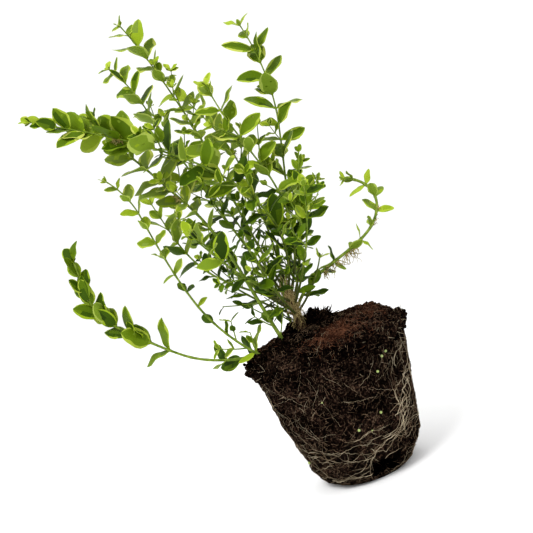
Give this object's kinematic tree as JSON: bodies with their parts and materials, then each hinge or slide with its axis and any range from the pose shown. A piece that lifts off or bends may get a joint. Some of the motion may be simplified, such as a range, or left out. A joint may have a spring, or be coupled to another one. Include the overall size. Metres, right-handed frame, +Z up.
{
  "type": "variegated wintercreeper plant on its root ball",
  "caption": "Young variegated wintercreeper with arching leafy shoots from a short woody crown, standing on the bare root ball of its nursery pot.",
  "frame": {"origin": "centre of the root ball's flat underside", "axes": "+Z up along the root ball's axis, +X to the right of the plant seen from the front, +Y to its back"},
  "size_m": [0.2357, 0.198, 0.3522],
  "materials": {
    "compost": "dark moist compost matted with fine roots",
    "old_wood": "tan fibrous bark",
    "green_stem": "smooth green bark",
    "leaf": "satin green leaf with a lime yellow margin"
  },
  "bodies": {
    "root": {"root_ball": "compost", "woody_crown": "old_wood", "tall_left_bough": "green_stem", "tall_left_foliage": "leaf", "tall_right_bough": "green_stem", "tall_right_foliage": "leaf", "centre_right_bough": "green_stem", "centre_right_foliage": "leaf", "centre_bough": "green_stem", "centre_foliage": "leaf", "upper_left_bough": "green_stem", "upper_left_foliage": "leaf", "long_arching_bough": "green_stem", "long_arching_foliage": "leaf", "side_left_bough": "green_stem", "side_left_foliage": "leaf", "right_bough": "green_stem", "right_foliage": "leaf", "back_right_bough": "green_stem", "back_right_foliage": "leaf", "back_left_bough": "green_stem", "back_left_foliage": "leaf", "front_right_bough": "green_stem", "front_right_foliage": "leaf", "inner_centre_bough": "green_stem", "inner_centre_foliage": "leaf", "inner_right_bough": "green_stem", "inner_right_foliage": "leaf", "inner_front_bough": "green_stem", "inner_front_foliage": "leaf", "inner_back_bough": "green_stem", "inner_back_foliage": "leaf", "inner_left_bough": "green_stem", "inner_left_foliage": "leaf", "back_runner_bough": "green_stem", "back_runner_foliage": "leaf", "front_runner_bough": "green_stem", "front_runner_foliage": "leaf", "front_thick_bough": "green_stem", "front_thick_foliage": "leaf", "front_left_bough": "green_stem", "front_left_foliage": "leaf", "left_runner_bough": "green_stem", "left_runner_foliage": "leaf", "right_runner_bough": "green_stem", "right_runner_foliage": "leaf", "back_bough": "green_stem", "back_foliage": "leaf"}
  },
  "joints": []
}
